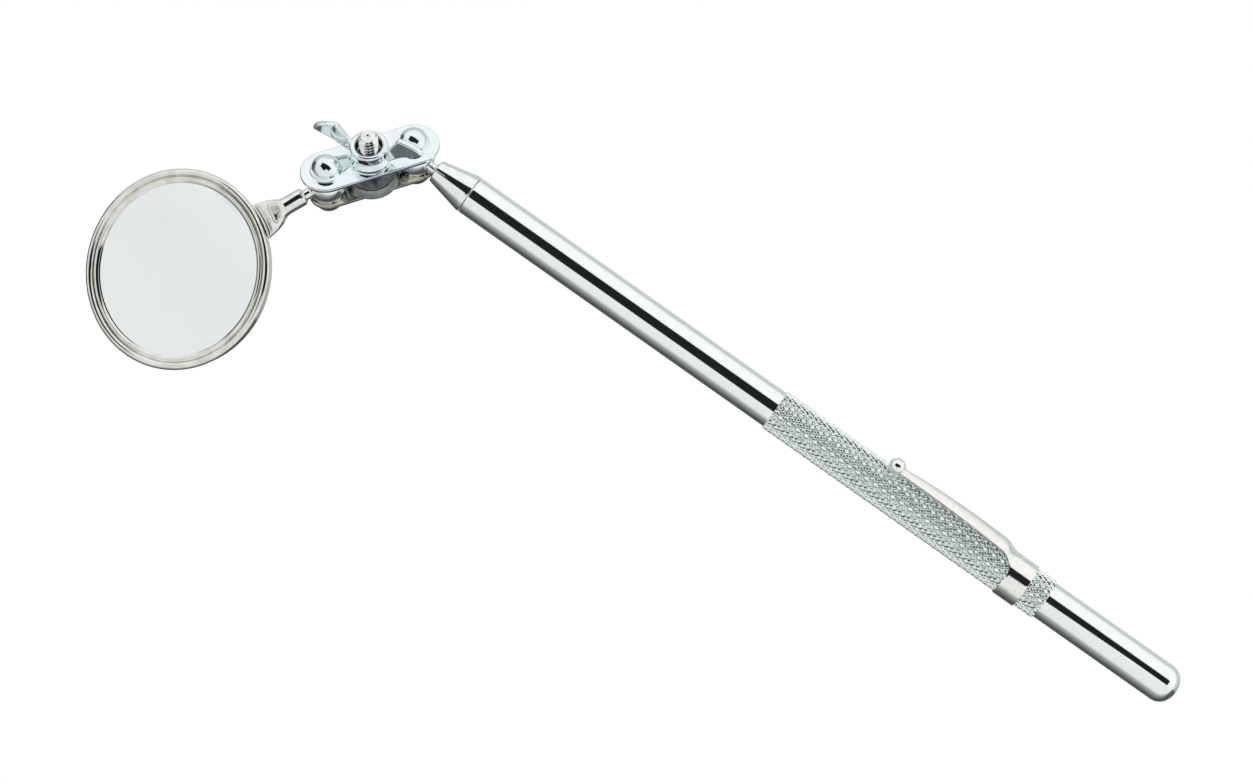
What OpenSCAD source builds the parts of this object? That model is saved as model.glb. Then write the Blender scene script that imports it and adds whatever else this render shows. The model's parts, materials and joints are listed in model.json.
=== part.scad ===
// Telescoping inspection mirror: a round mirror on a double ball joint, at the end of a pocket-size
// handle whose three inner sections slide out of the knurled outer tube.
// Millimetres. The origin is on the handle's axis at the rear shoulder of the grip. +X runs along the
// handle to its nose, and +Z is the side that the mirror faces in the stored pose.

/* [Handle] */
// Outside diameter of the smooth handle tube
tube_d = 6.35; // [6.2:0.05:6.6]
// Sheet thickness of the drawn tubes
tube_wall = 0.4; // [0.3:0.05:0.45]
// Outside diameter over the knurled grip
knurl_d = 6.95; // [6.8:0.05:7.2]
// Length of the knurled grip
knurl_len = 51.7; // [40:0.1:60]
// Length of the bare tail behind the grip, dome included
tail_len = 25.2; // [24:0.1:32]
// Length of the smooth tube in front of the grip
fore_len = 58.4; // [45:0.1:70]

/* [Pocket clip] */
// Turn of the clip about the handle, from +Z towards -Y
clip_turn = 50; // [0:1:90]
// Sheet thickness of the clip
clip_sheet = 0.3; // [0.25:0.05:0.4]
// Start of the clip's band in front of the grip's rear shoulder
band_x = 3.6; // [1:0.1:6]
// Width of the band
band_w = 3.8; // [3:0.1:5]
// Height of the arm's outer face above the handle's axis, at its ends
clip_face = 4.75; // [4.5:0.05:5]
// Bow of the arm's middle above its ends
clip_bow = 0.4; // [0:0.05:0.6]
// Distance from the grip's front end back to the clip's ball
clip_ball_back = 20.7; // [15:0.1:25]
// Diameter of the ball at the clip's tip
clip_ball_d = 2.7; // [2:0.1:2.7]
// Width of the arm at its root
clip_root_w = 3.0; // [2.6:0.1:3.6]
// Width of the arm at the ball
clip_tip_w = 1.5; // [1.3:0.1:2.4]

/* [Telescope] */
// Radial space between one tube's bore and the next tube
section_gap = 0.17; // [0.15:0.01:0.2]
// Length of each friction bush
bush_len = 10; // [6:1:14]
// Length of the turned-in mouth of each tube
lip_len = 1.4; // [1:0.1:2]

/* [Nose] */
// Length of the cone that closes the handle
cone_len = 6.4; // [5:0.1:8]
// Diameter of the cone's narrow end
cone_tip_d = 3.7; // [2:0.1:4]
// Distance from the cone's narrow end to the ball's centre
neck_len = 4.1; // [4:0.1:5]

/* [Ball joint] */
// Diameter of the two balls
ball_d = 6.35; // [6.2:0.05:6.4]
// Diameter of the necks that the balls sit on
neck_d = 1.7; // [1.5:0.1:1.8]
// Distance between the two ball centres
ball_pitch = 14.5; // [14.5:0.1:16]
// Sheet thickness of the clamp plates
plate_t = 0.67; // [0.5:0.01:0.8]
// Width of the upper clamp plate
upper_w = 8.1; // [7:0.1:8.4]
// Width of the lower clamp plate, which leaves the necks room
lower_w = 6.0; // [5.6:0.1:6]
// Height of each plate's outer face above the plane through the ball centres
plate_face = 3.02; // [2.9:0.01:3.1]
// Outside diameter of the domes pressed in the plates
dome_d = 4.7; // [4:0.1:4.9]
// Height of a dome's centre above its plate's outer face
dome_rise = 0.3; // [0:0.1:0.5]

/* [Screw and wing nut] */
// Diameter of the clamp screw
screw_d = 3.1; // [2.9:0.1:3.2]
// Length of thread that stands out of the wing nut
screw_proud = 1.95; // [1.2:0.05:2.6]
// Height of the wing nut's hub
hub_h = 3.0; // [2.8:0.05:4]
// Diameter of the wing nut's hub
hub_d = 6.2; // [5.8:0.1:6.6]
// Radius from the screw to the outer corner of a wing
wing_reach = 9.1; // [8:0.1:9.4]
// Height of the wings above the plate
wing_top = 6.05; // [5.6:0.05:7]
// Thickness of the wings
wing_t = 1.0; // [0.8:0.1:1.2]

/* [Mirror] */
// Outside diameter of the mirror's rim
mirror_d = 31.75; // [30:0.25:32]
// Depth of the cup behind the rim's front
cup_depth = 2.9; // [2.8:0.1:3.2]
// Diameter of the opening inside the rim's lip
lip_d = 27.3; // [26.5:0.1:28]
// Distance from the mirror's ball to the centre of the mirror
mirror_reach = 27.5; // [27:0.1:29]

/* [Stored pose] */
// Roll of the joint about the handle
head_roll = 30.8; // [-180:0.1:180]
// Rock of the handle's neck out of the clamp's plane
handle_rock = 21.1; // [-21.1:0.1:21.1]
// Swing of the clamp away from the handle's line
clamp_swing = 50.8; // [-90:0.1:90]
// Rock of the mirror's neck out of the clamp's plane
mirror_rock = 20; // [-20:0.1:20]
// Roll of the mirror about its stem
mirror_roll = -20.8; // [-180:0.1:180]
// Angle between the stem and the back of the mirror
mirror_cant = 10.3; // [8:0.1:12]

/* [Hidden] */

$fn = 96;
eps = 0.01;

// Radial clearance of a running fit, of a tube in the mouth round it, and of a bush in its bore
run_gap = 0.03;
lip_gap = 0.05;
bush_gap = 0.03;

chrome = [0.86, 0.87, 0.88];
zinc = [0.78, 0.82, 0.84];
brass = [0.78, 0.66, 0.38];
dull_steel = [0.45, 0.46, 0.47];

// Handle stations along X
tube_r = tube_d / 2;
knurl_r = knurl_d / 2;
bore_r = tube_r - tube_wall;
mouth_x = knurl_len + fore_len;
dome_x = -tail_len + tube_r;
plug_len = 4;
plug_x = dome_x + plug_len;
knurl_edge = 0.3;
// Seat that the clip's band is pressed on, and the stations of the clip
band_seat_r = knurl_r - 0.05;
band_out_r = band_seat_r + clip_sheet;
clip_step_from = band_x + band_w;
clip_step_to = clip_step_from + 2.8;
clip_mid_x = (clip_step_to + knurl_len - clip_ball_back) / 2;
clip_ball_x = knurl_len - clip_ball_back;
clip_ball_z = knurl_r + clip_ball_d / 2 + 0.03;
clip_band_gap = 1.6;

// Telescoping sections, outermost first
section_1_r = bore_r - section_gap;
section_2_r = section_1_r - tube_wall - section_gap;
rod_r = section_2_r - tube_wall - section_gap;
rear_gap = 1;
section_1_x = plug_x + rear_gap;
section_2_x = section_1_x + rear_gap;
rod_x = section_2_x + rear_gap;
bush_slit = 0.8;

// Nose cone
seat_gap = 0.1;
cone_x = mouth_x + seat_gap;
neck_x = cone_x + cone_len;
ball_x = neck_x + neck_len;
rod_socket = 4;
neck_r = neck_d / 2;
neck_past_ball = 1.5;
ball_bore_past = 1.7;

// Clamp
ball_r = ball_d / 2;
cup_r = ball_r + run_gap;
dome_r = dome_d / 2;
dome_z = plate_face + dome_rise;
plate_in = plate_face - plate_t;
screw_r = screw_d / 2;
collar_base_r = 4.3;
collar_top_r = 3.9;
collar_top = -0.7;
head_r = 2.9;
head_h = 1.3;
head_dome_r = 4.2;
slot_w = 0.7;
slot_depth = 0.6;
screw_tip_chamfer = 0.35;
nut_gap = 0.05;
nut_z = plate_face + nut_gap;
wing_turn = -41;
// Outline of a wing, as reach and height above the nut's base; it passes over the plate's domes
wing_root = 0.7;
wing_knee = [5.6, 2.35];
wing_bulge = [7.75, 5.3];
outer_corner_r = 0.5;
outer_corner = [wing_reach - outer_corner_r, 4.15];
upper_corner_r = 0.6;
upper_corner = [5.45, wing_top - nut_gap - upper_corner_r];

// Mirror, measured from the plane of the rim's front
mirror_r = mirror_d / 2;
opening_r = lip_d / 2;
cup_wall = 0.4;
bead_r = 0.62;
side_r = mirror_r - 0.45;
glass_face = -0.78;
glass_t = 1.3;
glass_r = side_r - cup_wall - 0.1;
pad_gap = 0.02;
stem_r = 1.4;
stem_flare_r = 1.7;
tail_w = 6;
tail_t = 0.9;
tail_out = 0.5;
tail_run = 8;
// Where the shank ends, and where the tail's upper face starts, on the stem's axes
shank_to = mirror_reach - mirror_r - 3.6;
tail_x = mirror_reach - (mirror_r + tail_out) * cos(mirror_cant) - cup_depth * sin(mirror_cant);
tail_z = (mirror_r + tail_out) * sin(mirror_cant) - cup_depth * cos(mirror_cant);

// Points of an arc, as radius and station
function arc(centre, r, from, to, steps = 8) = [
    for (i = [0 : steps])
        centre + r * [cos(from + (to - from) * i / steps), sin(from + (to - from) * i / steps)]
];

// A turned piece on the X axis, from its outline as radius and station
module turned(outline) {
    rotate([0, 90, 0])
        rotate_extrude()
            polygon(outline);
}

// A plain cylinder along X
module rod(r, from, to) {
    translate([from, 0, 0])
        rotate([0, 90, 0])
            cylinder(r = r, h = to - from);
}

// Frame of the clamp: origin at the handle's ball, X towards the mirror's ball, Z across the plates
module at_clamp() {
    translate([ball_x, 0, 0])
        rotate([head_roll, 0, 0])
            rotate([0, handle_rock, 0])
                rotate([0, 0, clamp_swing])
                    children();
}

// Frame of the stem: origin at the mirror's ball, X along the stem
module at_stem() {
    at_clamp()
        translate([ball_pitch, 0, 0])
            rotate([0, mirror_rock, 0])
                rotate([mirror_roll, 0, 0])
                    children();
}

// Frame of the mirror: origin at the centre of the rim's front, Z out of the glass
module at_mirror() {
    at_stem()
        translate([mirror_reach, 0, 0])
            rotate([0, mirror_cant, 0])
                children();
}

// Outer tube with its raised grip, the clip's seat and the turned-in mouth
module handle_tube() {
    color(chrome)
        turned([
            [bore_r, dome_x], [tube_r, dome_x],
            [tube_r, 0], [knurl_r - knurl_edge, 0], [knurl_r, knurl_edge],
            [knurl_r, band_x], [band_seat_r, band_x],
            [band_seat_r, band_x + band_w], [knurl_r, band_x + band_w],
            [knurl_r, knurl_len - knurl_edge], [knurl_r - knurl_edge, knurl_len], [tube_r, knurl_len],
            [tube_r, mouth_x - 0.15], [tube_r - 0.15, mouth_x],
            [section_1_r + lip_gap, mouth_x], [section_1_r + lip_gap, mouth_x - lip_len],
            [bore_r, mouth_x - lip_len]
        ]);
}

// Domed plug that closes the tail
module tail_plug() {
    color(chrome)
        union() {
            intersection() {
                translate([dome_x, 0, 0])
                    sphere(r = tube_r);
                rod(tube_r + 1, dome_x - tube_r - 1, dome_x);
            }
            rod(bore_r, dome_x - eps, plug_x);
        }
}

// Arm of the clip: its side outline along X, clipped to its tapering plan
module clip_arm() {
    intersection() {
        rotate([90, 0, 0])
            linear_extrude(height = 8, center = true)
                polygon([
                    [band_x, band_seat_r], [clip_step_from + 0.8, band_seat_r],
                    [clip_step_to, clip_face - clip_sheet], [clip_mid_x, clip_face + clip_bow - clip_sheet],
                    [clip_ball_x, clip_face - clip_sheet], [clip_ball_x, clip_face],
                    [clip_mid_x, clip_face + clip_bow], [clip_step_to - 0.2, clip_face],
                    [clip_step_from + 0.5, band_out_r], [band_x, band_out_r]
                ]);
        linear_extrude(height = 20)
            polygon([
                [band_x, -clip_root_w / 2], [clip_step_to, -clip_root_w / 2],
                [clip_ball_x, -clip_tip_w / 2], [clip_ball_x, clip_tip_w / 2],
                [clip_step_to, clip_root_w / 2], [band_x, clip_root_w / 2]
            ]);
    }
}

// Spring clip: a split band round the grip, a step, a tapering arm and a ball at its tip
module pocket_clip() {
    color(chrome)
        rotate([clip_turn, 0, 0])
            union() {
                difference() {
                    rod(band_out_r, band_x, band_x + band_w);
                    rod(band_seat_r, band_x - 1, band_x + band_w + 1);
                    translate([band_x - 1, -clip_band_gap / 2, -band_out_r - 1])
                        cube([band_w + 2, clip_band_gap, band_out_r]);
                }
                difference() {
                    clip_arm();
                    rod(band_seat_r, band_x - 1, clip_step_from + 1);
                }
                translate([clip_ball_x, 0, clip_ball_z])
                    sphere(d = clip_ball_d);
            }
}

// One inner tube with its turned-in mouth round the next section
module section_tube(outer_r, inner_r, from) {
    color(chrome)
        turned([
            [inner_r, from], [outer_r, from],
            [outer_r, mouth_x - 0.1], [outer_r - 0.1, mouth_x],
            [inner_r - section_gap + lip_gap, mouth_x],
            [inner_r - section_gap + lip_gap, mouth_x - lip_len], [inner_r, mouth_x - lip_len]
        ]);
}

// One split friction bush on the rear end of a section, in the bore round it
module friction_bush(inner_r, bore, from) {
    color(brass)
        difference() {
            rod(bore - bush_gap, from, from + bush_len);
            rod(inner_r, from - 1, from + bush_len + 1);
            translate([from - 1, -bush_slit / 2, 0])
                cube([bush_len + 2, bush_slit, bore + 1]);
        }
}

module section_1_tube() {
    section_tube(section_1_r, section_1_r - tube_wall, section_1_x);
}

module section_1_bush() {
    friction_bush(section_1_r, bore_r, section_1_x);
}

module section_2_tube() {
    section_tube(section_2_r, section_2_r - tube_wall, section_2_x);
}

module section_2_bush() {
    friction_bush(section_2_r, section_1_r - tube_wall, section_2_x);
}

module section_3_rod() {
    color(chrome)
        rod(rod_r, rod_x, cone_x + rod_socket);
}

module section_3_bush() {
    friction_bush(rod_r, section_2_r - tube_wall, rod_x);
}

// Cone that closes the handle and carries the neck of the first ball
module nose_cone() {
    color(chrome)
        turned([
            [rod_r, cone_x], [tube_r - 0.1, cone_x], [tube_r, cone_x + 0.1], [tube_r, cone_x + 0.5],
            [cone_tip_d / 2, neck_x], [neck_r, neck_x + 0.3],
            [neck_r, ball_x + neck_past_ball], [0, ball_x + neck_past_ball],
            [0, cone_x + rod_socket], [rod_r, cone_x + rod_socket]
        ]);
}

// A ball drilled to turn on a neck that comes in along its -X side
module drilled_ball() {
    color(chrome)
        difference() {
            sphere(r = ball_r);
            rod(neck_r + run_gap, -ball_r - 1, ball_bore_past);
        }
}

module handle_ball() {
    translate([ball_x, 0, 0])
        drilled_ball();
}

module mirror_ball() {
    at_stem()
        mirror([1, 0, 0])
            drilled_ball();
}

// One clamp plate: a flat strip with round ends, a dome over each ball and a seat for it
module clamp_plate(width, hole_r) {
    difference() {
        union() {
            for (x = [0, ball_pitch])
                translate([x, 0, plate_in])
                    cylinder(d = width, h = plate_t);
            translate([0, -width / 2, plate_in])
                cube([ball_pitch, width, plate_t]);
            for (x = [0, ball_pitch])
                intersection() {
                    translate([x, 0, dome_z])
                        sphere(r = dome_r);
                    translate([x, 0, plate_in])
                        cylinder(r = dome_r + 1, h = 2 * dome_r);
                }
        }
        for (x = [0, ball_pitch]) {
            translate([x, 0, 0])
                sphere(r = cup_r);
            translate([x, 0, dome_z])
                sphere(r = dome_r - plate_t);
        }
        translate([ball_pitch / 2, 0, 0])
            cylinder(r = hole_r, h = dome_z);
    }
}

module clamp_plate_upper() {
    color(zinc)
        at_clamp()
            clamp_plate(upper_w, screw_r + lip_gap);
}

module clamp_plate_lower() {
    color(zinc)
        at_clamp()
            mirror([0, 0, 1])
                clamp_plate(lower_w, screw_r);
}

// Slotted round-head screw, up through both plates and the wing nut
module clamp_screw() {
    top = nut_z + hub_h + screw_proud;
    color(chrome)
        at_clamp()
            translate([ball_pitch / 2, 0, 0])
                difference() {
                    union() {
                        translate([0, 0, -plate_face - eps])
                            cylinder(r = screw_r, h = top + plate_face - screw_tip_chamfer + eps);
                        translate([0, 0, top - screw_tip_chamfer])
                            cylinder(r1 = screw_r, r2 = screw_r - screw_tip_chamfer,
                                     h = screw_tip_chamfer);
                        intersection() {
                            translate([0, 0, -plate_face - head_h + head_dome_r])
                                sphere(r = head_dome_r);
                            translate([0, 0, -plate_face - head_h])
                                cylinder(r = head_r, h = head_h);
                        }
                    }
                    translate([-head_r - 1, -slot_w / 2, -plate_face - head_h - 1])
                        cube([2 * head_r + 2, slot_w, slot_depth + 1]);
                }
}

// Dull steel collar that keeps the plates square on the screw
module spacer_collar() {
    color(dull_steel)
        at_clamp()
            translate([ball_pitch / 2, 0, -plate_in])
                rotate_extrude()
                    polygon([
                        [screw_r, 0], [collar_base_r - 0.2, 0], [collar_base_r, 0.2],
                        [collar_top_r, plate_in + collar_top - 0.15],
                        [collar_top_r - 0.15, plate_in + collar_top],
                        [screw_r, plate_in + collar_top]
                    ]);
}

// Outline of one wing, as reach and height: it widens from the hub to a slanted outer edge
module wing_outline() {
    polygon(concat(
        [[hub_d / 2 - 0.6, wing_root], [hub_d / 2 + 0.2, wing_root], wing_knee],
        arc(outer_corner, outer_corner_r, -65, 35, 6),
        [wing_bulge],
        arc(upper_corner, upper_corner_r, 72, 139, 6),
        [[hub_d / 2 - 0.1, hub_h - 0.5], [hub_d / 2 - 0.6, hub_h - 0.5]]
    ));
}

module wing_nut() {
    hub_r = hub_d / 2;
    color(zinc)
        at_clamp()
            translate([ball_pitch / 2, 0, nut_z])
                union() {
                    rotate_extrude()
                        polygon([
                            [screw_r + run_gap, 0], [hub_r + 0.2, 0], [hub_r + 0.35, 0.3],
                            [hub_r + 0.05, 1.3], [hub_r, hub_h - 0.5],
                            [hub_r - 0.15, hub_h - 0.15], [hub_r - 0.4, hub_h],
                            [hub_r - 0.75, hub_h - 0.15], [hub_r - 0.85, hub_h - 0.7],
                            [screw_r + run_gap, hub_h - 1.9]
                        ]);
                    for (side = [0, 180])
                        rotate([0, 0, wing_turn + side])
                            rotate([90, 0, 0])
                                linear_extrude(height = wing_t, center = true)
                                    wing_outline();
                }
}

// Wedge that flattens and widens the shank into the tail
module stem_wedge() {
    from = shank_to - 0.9;
    to = tail_x + 1.6;
    drop = 1.6 * tan(mirror_cant);
    skin = 0.06;
    intersection() {
        rotate([90, 0, 0])
            linear_extrude(height = tail_w, center = true)
                polygon([
                    [from, -1.1], [shank_to, -1.5],
                    [tail_x - 0.1, tail_z - tail_t + 0.05], [to, tail_z - tail_t - drop + 2 * skin],
                    [to, tail_z - drop - skin], [tail_x - 0.1, tail_z - skin],
                    [shank_to, 1.5], [from, 1.1]
                ]);
        translate([0, 0, -stem_flare_r])
            linear_extrude(height = 2 * stem_flare_r)
                polygon([
                    [from, -1.1], [shank_to, -1.5], [shank_to + 1.3, -2.2], [tail_x, -tail_w / 2 + 0.3],
                    [to, -tail_w / 2 + 0.2], [to, tail_w / 2 - 0.2],
                    [tail_x, tail_w / 2 - 0.3], [shank_to + 1.3, 2.2], [shank_to, 1.5], [from, 1.1]
                ]);
    }
}

// Stem of the mirror: a neck in the ball, a round shank and a flattened tail on the cup's back
module mirror_stem() {
    shank_from = neck_len - 0.1;
    color(chrome)
        union() {
            at_stem()
                turned([
                    [0, -neck_past_ball], [neck_r, -neck_past_ball], [neck_r, shank_from],
                    [stem_r, shank_from + 0.4], [stem_r, shank_to - 1.5], [stem_flare_r, shank_to],
                    [0, shank_to + 0.8]
                ]);
            at_stem()
                stem_wedge();
            at_mirror()
                translate([-mirror_r - tail_out, 0, -cup_depth - tail_t])
                    linear_extrude(height = tail_t)
                        union() {
                            translate([0, -tail_w / 2])
                                square([tail_run - tail_w / 2, tail_w]);
                            translate([tail_run - tail_w / 2, 0])
                                circle(d = tail_w);
                        }
        }
}

// Pressed cup with a rolled bead, a groove and a lip over the edge of the glass
module mirror_cup() {
    color(chrome)
        at_mirror()
            rotate_extrude()
                polygon(concat(
                    [[0, -cup_depth], [side_r - 0.5, -cup_depth]],
                    arc([side_r - 0.5, -cup_depth + 0.5], 0.5, -80, 0, 4),
                    [[side_r, -2 * bead_r]],
                    arc([mirror_r - bead_r, -bead_r], bead_r, -50, 180, 16),
                    [
                        [mirror_r - 2 * bead_r - 0.15, -0.75 * bead_r],
                        [mirror_r - 2 * bead_r - 0.3, -0.3], [opening_r + 0.4, -0.3],
                        [opening_r, -0.5], [opening_r, glass_face], [side_r - cup_wall, glass_face],
                        [side_r - cup_wall, cup_wall - cup_depth], [0, cup_wall - cup_depth]
                    ]
                ));
}

module mirror_glass() {
    color([0.8, 0.88, 0.9])
        at_mirror()
            translate([0, 0, glass_face - glass_t])
                cylinder(r = glass_r, h = glass_t);
}

// Soft disc that presses the glass up against the lip
module backing_pad() {
    pad_t = cup_depth - cup_wall + glass_face - glass_t;
    color([0.25, 0.25, 0.26])
        at_mirror()
            translate([0, 0, cup_wall - cup_depth])
                cylinder(r = glass_r - 0.3, h = pad_t - pad_gap);
}

handle_tube();
tail_plug();
pocket_clip();
section_1_tube();
section_1_bush();
section_2_tube();
section_2_bush();
section_3_rod();
section_3_bush();
nose_cone();
handle_ball();
clamp_plate_lower();
clamp_screw();
spacer_collar();
clamp_plate_upper();
wing_nut();
mirror_ball();
mirror_stem();
mirror_cup();
mirror_glass();
backing_pad();
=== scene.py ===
import json
from math import acos, asin, atan2, ceil, cos, degrees, pi, radians, sin, sqrt, tan

import bmesh
import bpy
from mathutils import Matrix, Vector


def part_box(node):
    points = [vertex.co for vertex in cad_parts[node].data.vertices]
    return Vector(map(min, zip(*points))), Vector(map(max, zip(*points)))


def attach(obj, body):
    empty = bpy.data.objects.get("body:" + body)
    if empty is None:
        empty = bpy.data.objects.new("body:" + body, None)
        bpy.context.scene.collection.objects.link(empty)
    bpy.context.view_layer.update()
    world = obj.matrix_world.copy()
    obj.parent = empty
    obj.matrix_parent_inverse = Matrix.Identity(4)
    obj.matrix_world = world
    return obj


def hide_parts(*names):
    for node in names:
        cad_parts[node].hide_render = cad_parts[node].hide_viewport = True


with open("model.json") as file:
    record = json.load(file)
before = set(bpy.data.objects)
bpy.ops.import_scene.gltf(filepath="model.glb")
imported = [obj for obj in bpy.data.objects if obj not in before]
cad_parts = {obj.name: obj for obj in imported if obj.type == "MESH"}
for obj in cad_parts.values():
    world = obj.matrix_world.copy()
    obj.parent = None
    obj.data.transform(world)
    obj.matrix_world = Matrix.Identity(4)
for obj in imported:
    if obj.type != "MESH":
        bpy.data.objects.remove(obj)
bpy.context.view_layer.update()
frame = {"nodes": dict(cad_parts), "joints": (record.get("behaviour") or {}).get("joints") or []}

# The looks of a telescoping inspection mirror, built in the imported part's frame. Local outlines are in
# millimetres, and every piece's mesh is turned into metres when it is placed.
MM = 0.001

# ---------------------------------------------------------------- frames, from the part's joints and nodes
joints = {j["name"]: j for j in frame["joints"]}


def axes(origin, x, z):
    """Matrix of a frame with its origin at a point, its X along x, and its Z as near z as it can be."""
    x = Vector(x).normalized()
    y = Vector(z).cross(x).normalized()
    z = x.cross(y)
    m = Matrix((x, y, z)).transposed().to_4x4()
    m.translation = origin
    return m


ball_1 = Vector(joints["head_roll"]["pos_m"])
ball_2 = Vector(joints["mirror_swing"]["pos_m"])
post = Vector(joints["clamp_swing"]["axis"])
stem_axis = Vector(joints["mirror_roll"]["axis"]).normalized()
glass_mesh = frame["nodes"]["mirror_glass"].data
glass_normal = max(glass_mesh.polygons, key=lambda p: p.area).normal.copy()
if glass_normal.z < 0:
    glass_normal.negate()
low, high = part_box("mirror_glass")
GLASS_FACE, GLASS_T = -0.78, 1.3
rim_centre = (low + high) / 2 - glass_normal * (GLASS_FACE - GLASS_T / 2) * MM

at_handle = Matrix.Identity(4)
at_clamp = axes(ball_1, ball_2 - ball_1, post)
at_post = at_clamp @ Matrix.Translation(((ball_2 - ball_1).length / 2, 0, 0))
at_stem = axes(ball_2, stem_axis, stem_axis.cross(glass_normal.cross(stem_axis)))
at_mirror = axes(rim_centre, at_stem.col[1].to_3d().cross(glass_normal), glass_normal)
CANT = acos(max(-1, min(1, at_mirror.col[0].to_3d().dot(stem_axis))))
REACH = (rim_centre - ball_2).dot(stem_axis) / MM
PITCH = (ball_2 - ball_1).length / MM
BALL_X = ball_1.x / MM
TAIL_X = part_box("tail_plug")[0].x / MM
MOUTH_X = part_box("handle_tube")[1].x / MM
CONE_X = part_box("nose_cone")[0].x / MM

# Mesh attribute with each point in its piece's own axes, for the materials
LOCAL = "local"
TUBE_R = 3.175
BORE_R = 2.775
BALL_R = 3.175
NECK_R = 0.85
SCREW_R = 1.55
# Running gap of a turning fit, gap of a loose one, and the turned-in mouth of each tube
RUN_GAP = 0.03
FREE_GAP = 0.05
LIP_LEN, LIP_END = 1.4, 1.5


# ---------------------------------------------------------------- mesh helpers, all in millimetres
def arc(cx, cy, r, start, end, steps):
    """Points of an arc, angles in degrees."""
    out = []
    for i in range(steps + 1):
        a = radians(start + (end - start) * i / steps)
        out.append((cx + r * cos(a), cy + r * sin(a)))
    return out


def rounded(corners, steps=5, closed=False):
    """Outline from corners (x, y) or (x, y, fillet radius), with its corners rounded."""
    out = []
    n = len(corners)
    for i, corner in enumerate(corners):
        p = Vector(corner[:2])
        r = corner[2] if len(corner) > 2 else 0
        if r <= 0 or (not closed and i in (0, n - 1)):
            out.append(tuple(p))
            continue
        to_a = Vector(corners[i - 1][:2]) - p
        to_b = Vector(corners[(i + 1) % n][:2]) - p
        half = to_a.angle(to_b) / 2
        run = min(r / tan(half), 0.48 * to_a.length, 0.48 * to_b.length)
        r = run * tan(half)
        a, b = to_a.normalized(), to_b.normalized()
        centre = p + (a + b).normalized() * (r / sin(half))
        v0, v1 = p + a * run - centre, p + b * run - centre
        a0 = atan2(v0.y, v0.x)
        turn = (atan2(v1.y, v1.x) - a0 + pi) % (2 * pi) - pi
        for k in range(steps + 1):
            t = a0 + turn * k / steps
            out.append((centre.x + r * cos(t), centre.y + r * sin(t)))
    return out


def add_turned(bm, outline, axis="Z", around=96, closed=False):
    """Turned shell from its outline of (radius, station). Its ends are on the axis, or it is closed."""
    rings = []
    for r, s in outline:
        count = 1 if r < 1e-6 else around
        ring = []
        for i in range(count):
            a = 2 * pi * i / around
            u, v = r * cos(a), r * sin(a)
            ring.append(bm.verts.new((s, u, v) if axis == "X" else (u, v, s)))
        rings.append(ring)
    pairs = list(zip(rings, rings[1:] + rings[:1])) if closed else list(zip(rings, rings[1:]))
    for a, b in pairs:
        for i in range(around):
            j = (i + 1) % around
            if len(a) == 1 and len(b) == 1:
                break
            if len(a) == 1:
                bm.faces.new((a[0], b[j], b[i]))
            elif len(b) == 1:
                bm.faces.new((a[i], a[j], b[0]))
            else:
                bm.faces.new((a[i], a[j], b[j], b[i]))


def add_grid(bm, rows, wrap=False):
    """Quads between rows of vertices."""
    for a, b in zip(rows, rows[1:]):
        n = len(a)
        for i in range(n if wrap else n - 1):
            j = (i + 1) % n
            bm.faces.new((a[i], a[j], b[j], b[i]))


def to_mesh(bm, name):
    bmesh.ops.recalc_face_normals(bm, faces=bm.faces)
    mesh = bpy.data.meshes.new(name)
    bm.to_mesh(mesh)
    bm.free()
    return mesh


def with_modifiers(mesh, *settings):
    """The mesh after modifiers, each given as (type, {property: value})."""
    obj = bpy.data.objects.new("work", mesh)
    bpy.context.scene.collection.objects.link(obj)
    for kind, values in settings:
        modifier = obj.modifiers.new(kind.lower(), kind)
        for key, value in values.items():
            setattr(modifier, key, value)
    graph = bpy.context.evaluated_depsgraph_get()
    result = bpy.data.meshes.new_from_object(obj.evaluated_get(graph))
    bpy.data.objects.remove(obj)
    return result


def cut_away(mesh, tool):
    """The mesh less the tool's solid."""
    cutter = bpy.data.objects.new("cutter", tool)
    bpy.context.scene.collection.objects.link(cutter)
    result = with_modifiers(mesh, ("BOOLEAN", {"object": cutter, "operation": "DIFFERENCE",
                                               "solver": "EXACT"}))
    bpy.data.objects.remove(cutter)
    return result


def place(name, mesh, matrix, body, node, material, sharp=32):
    """Turns a millimetre mesh into a piece that rides a body and stands for a CAD node."""
    mesh.transform(Matrix.Scale(MM, 4))
    local = mesh.attributes.new(LOCAL, "FLOAT_VECTOR", "POINT")
    local.data.foreach_set("vector", [c for v in mesh.vertices for c in v.co])
    mesh.transform(matrix)
    mesh.polygons.foreach_set("use_smooth", [True] * len(mesh.polygons))
    mesh.set_sharp_from_angle(angle=radians(sharp))
    mesh.materials.clear()
    mesh.materials.append(material)
    obj = bpy.data.objects.new(name, mesh)
    bpy.context.scene.collection.objects.link(obj)
    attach(obj, body)
    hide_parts(node)
    return obj


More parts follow.
